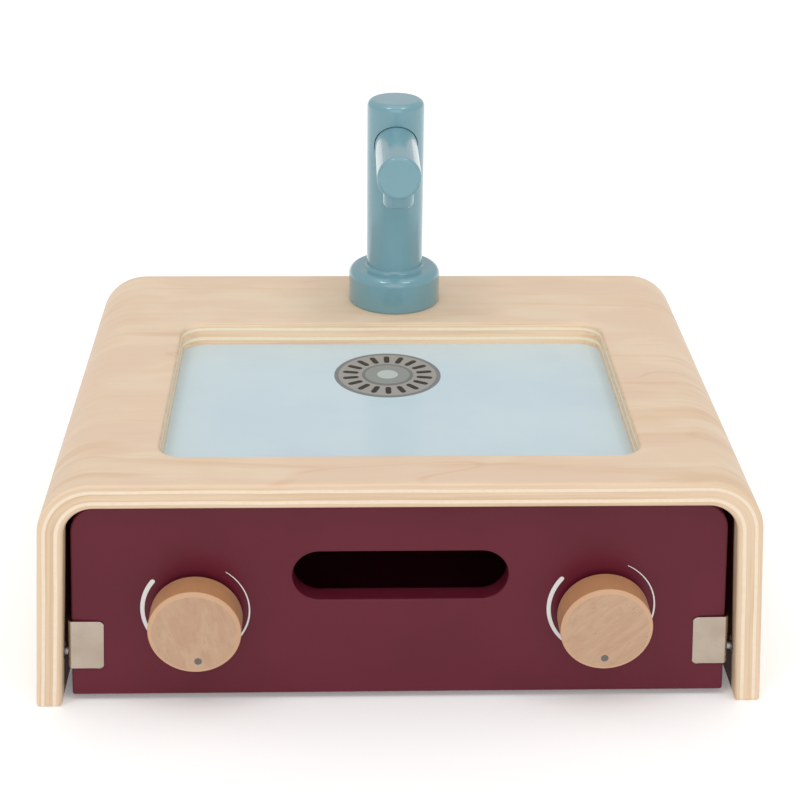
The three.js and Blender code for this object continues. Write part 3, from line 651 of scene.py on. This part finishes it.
def capsule(inner, outer, width, angle, steps=6):
    """A round-ended bar along the direction angle, from inner to outer."""
    half = width / 2
    points = []
    for reach, start in ((outer - half, angle - math.pi / 2), (inner + half, angle + math.pi / 2)):
        end = turned(reach, angle)
        points += [turned(half, start + math.pi * i / steps, end) for i in range(steps + 1)]
    return points


def tapered_arc(sweep, steps=90, cap_steps=8):
    """A ring segment that starts thick and round-ended, and thins out to a hairline."""
    outside, inside = [], []
    for i in range(steps + 1):
        share = i / steps
        angle = ARC_START + sweep * share
        half = (ARC_THICK + (ARC_THIN - ARC_THICK) * share) / 2
        outside.append(turned(ARC_RADIUS + half, angle))
        inside.append(turned(ARC_RADIUS - half, angle))
    start = turned(ARC_RADIUS, ARC_START)
    cap = [
        turned(ARC_THICK / 2, ARC_START + math.pi + math.pi * i / cap_steps, start)
        for i in range(1, cap_steps)
    ]
    return outside + inside[::-1] + cap


def make_drain():
    """The printed drain: discs that get smaller, with a ring of dark slots among them."""
    place = Matrix.Translation((DRAIN_X, DRAIN_Y, BOARD_TOP + CLOSED))
    for layer, (name, share, colour) in enumerate(DRAIN_LAYERS, 1):
        reach = share * DRAIN_RADIUS
        if name == "drain_slots":
            turns = [math.pi / 2 + 2 * math.pi * i / DRAIN_SLOTS for i in range(DRAIN_SLOTS)]
            outlines = [capsule(SLOT_START, reach, SLOT_WIDTH, turn) for turn in turns]
        else:
            outlines = [circle(reach)]
        printed(name, outlines, place, ink(name, colour), "root", layer)


def make_knob_marks(side):
    """The white arc round a knob and the grey dot on its face."""
    low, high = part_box(f"knob_{side}")
    axis_x, axis_z = (low.x + high.x) / 2, (low.z + high.z) / 2
    white = ink(f"white_ink_{side}", srgb(228, 228, 226))
    grey = ink(f"grey_ink_{side}", srgb(104, 100, 93))

    on_panel = Matrix.Translation((axis_x - ARC_SHIFT, PANEL_FACE, axis_z + ARC_RISE)) @ TOWARDS_PLAYER
    arc = tapered_arc(ARC_SWEEP[side])
    printed(f"dial_arc_{side}", [arc], on_panel, white, "front_flap", 1)

    on_knob = Matrix.Translation((axis_x, low.y, axis_z)) @ TOWARDS_PLAYER
    dot = circle(DOT_RADIUS, DOT_STEPS, turned(DOT_REACH, DOT_TURN[side] - math.pi / 2))
    printed(f"pointer_dot_{side}", [dot], on_knob, grey, f"knob_{side}", 1)


# ---- Stage ----------------------------------------------------------------------------------------

WHITE = (1, 1, 1, 1)
WORLD_LIGHT = 0.62
FLOOR_GLOW = 0.15
FLOOR_HALF = 200  # metres, so that its edge is never seen
LIGHTS = (  # name, azimuth, elevation and spread in degrees, strength
    ("key", -45, 58, 14, 0.28),
    ("fill", 45, 58, 14, 0.25),
    ("overhead", 0, 82, 60, 0.53),
    ("front", 0, 16, 50, 0.56),
)
CAMERA_PLACE = (-0.0252, SHELL_LOW.y - 0.6468, 0.4493)
CAMERA_YAW = math.radians(2.08)
CAMERA_PITCH = math.radians(25.13)
CAMERA_ROLL = math.radians(0.68)
CAMERA_LENS = 80.65  # millimetres, like the sensor
CAMERA_SENSOR = 36


def make_floor():
    """White board that glows a little, so that shadows on it stay faint."""
    surface = Surface("floor", roughness=0.9, specular_ior_level=0.1,
                      emission_strength=FLOOR_GLOW, emission_color=WHITE)
    surface.colour(srgb(254, 254, 254))
    work = bmesh.new()
    bmesh.ops.create_grid(work, x_segments=1, y_segments=1, size=FLOOR_HALF)
    floor = new_object("floor", work, surface.material)


def make_light(name, azimuth, elevation, spread, strength):
    """Even light from far away; azimuth 0 is in front of the toy and grows to the right."""
    data = bpy.data.lights.new(name, "SUN")
    data.angle = math.radians(spread)
    data.energy = strength
    light = bpy.data.objects.new(name, data)
    light.rotation_euler = (math.radians(90 - elevation), 0, math.radians(azimuth))
    bpy.context.scene.collection.objects.link(light)


def make_world():
    """Even light all round; where the camera sees it past the floor, it is as white as the floor."""
    world = bpy.data.worlds.new("studio")
    world.use_nodes = True
    tree = world.node_tree
    background = tree.nodes["Background"]
    background.inputs["Color"].default_value = WHITE
    seen = tree.nodes.new("ShaderNodeLightPath").outputs["Is Camera Ray"]
    strength = tree.nodes.new("ShaderNodeMapRange")
    strength.inputs["To Min"].default_value = WORLD_LIGHT
    strength.inputs["To Max"].default_value = 1.0
    tree.links.new(seen, strength.inputs["Value"])
    tree.links.new(strength.outputs["Result"], background.inputs["Strength"])
    bpy.context.scene.world = world


def make_camera():
    """Above the front, looking down at the toy; yaw grows to the right."""
    heading = Vector((math.sin(CAMERA_YAW), math.cos(CAMERA_YAW), 0))
    forward = math.cos(CAMERA_PITCH) * heading - math.sin(CAMERA_PITCH) * Vector((0, 0, 1))
    level = Vector((math.cos(CAMERA_YAW), -math.sin(CAMERA_YAW), 0))
    right = math.cos(CAMERA_ROLL) * level + math.sin(CAMERA_ROLL) * level.cross(forward)
    up = right.cross(forward)
    data = bpy.data.cameras.new("camera")
    data.lens = CAMERA_LENS
    data.sensor_width = CAMERA_SENSOR
    camera = bpy.data.objects.new("camera", data)
    turn = Matrix((right, up, -forward)).transposed().to_4x4()
    camera.matrix_world = Matrix.Translation(CAMERA_PLACE) @ turn
    bpy.context.scene.collection.objects.link(camera)
    bpy.context.scene.camera = camera


# ---- Everything together --------------------------------------------------------------------------

for side in SIDES:
    make_knob(side)
    make_knob_marks(side)
make_drain()
turned_nodes = {f"knob_{side}" for side in SIDES}
for node in sorted(set(BODY_OF) - turned_nodes):
    refined(node)

make_floor()
make_world()
for light in LIGHTS:
    make_light(*light)
make_camera()
bpy.context.scene.view_settings.view_transform = "Standard"
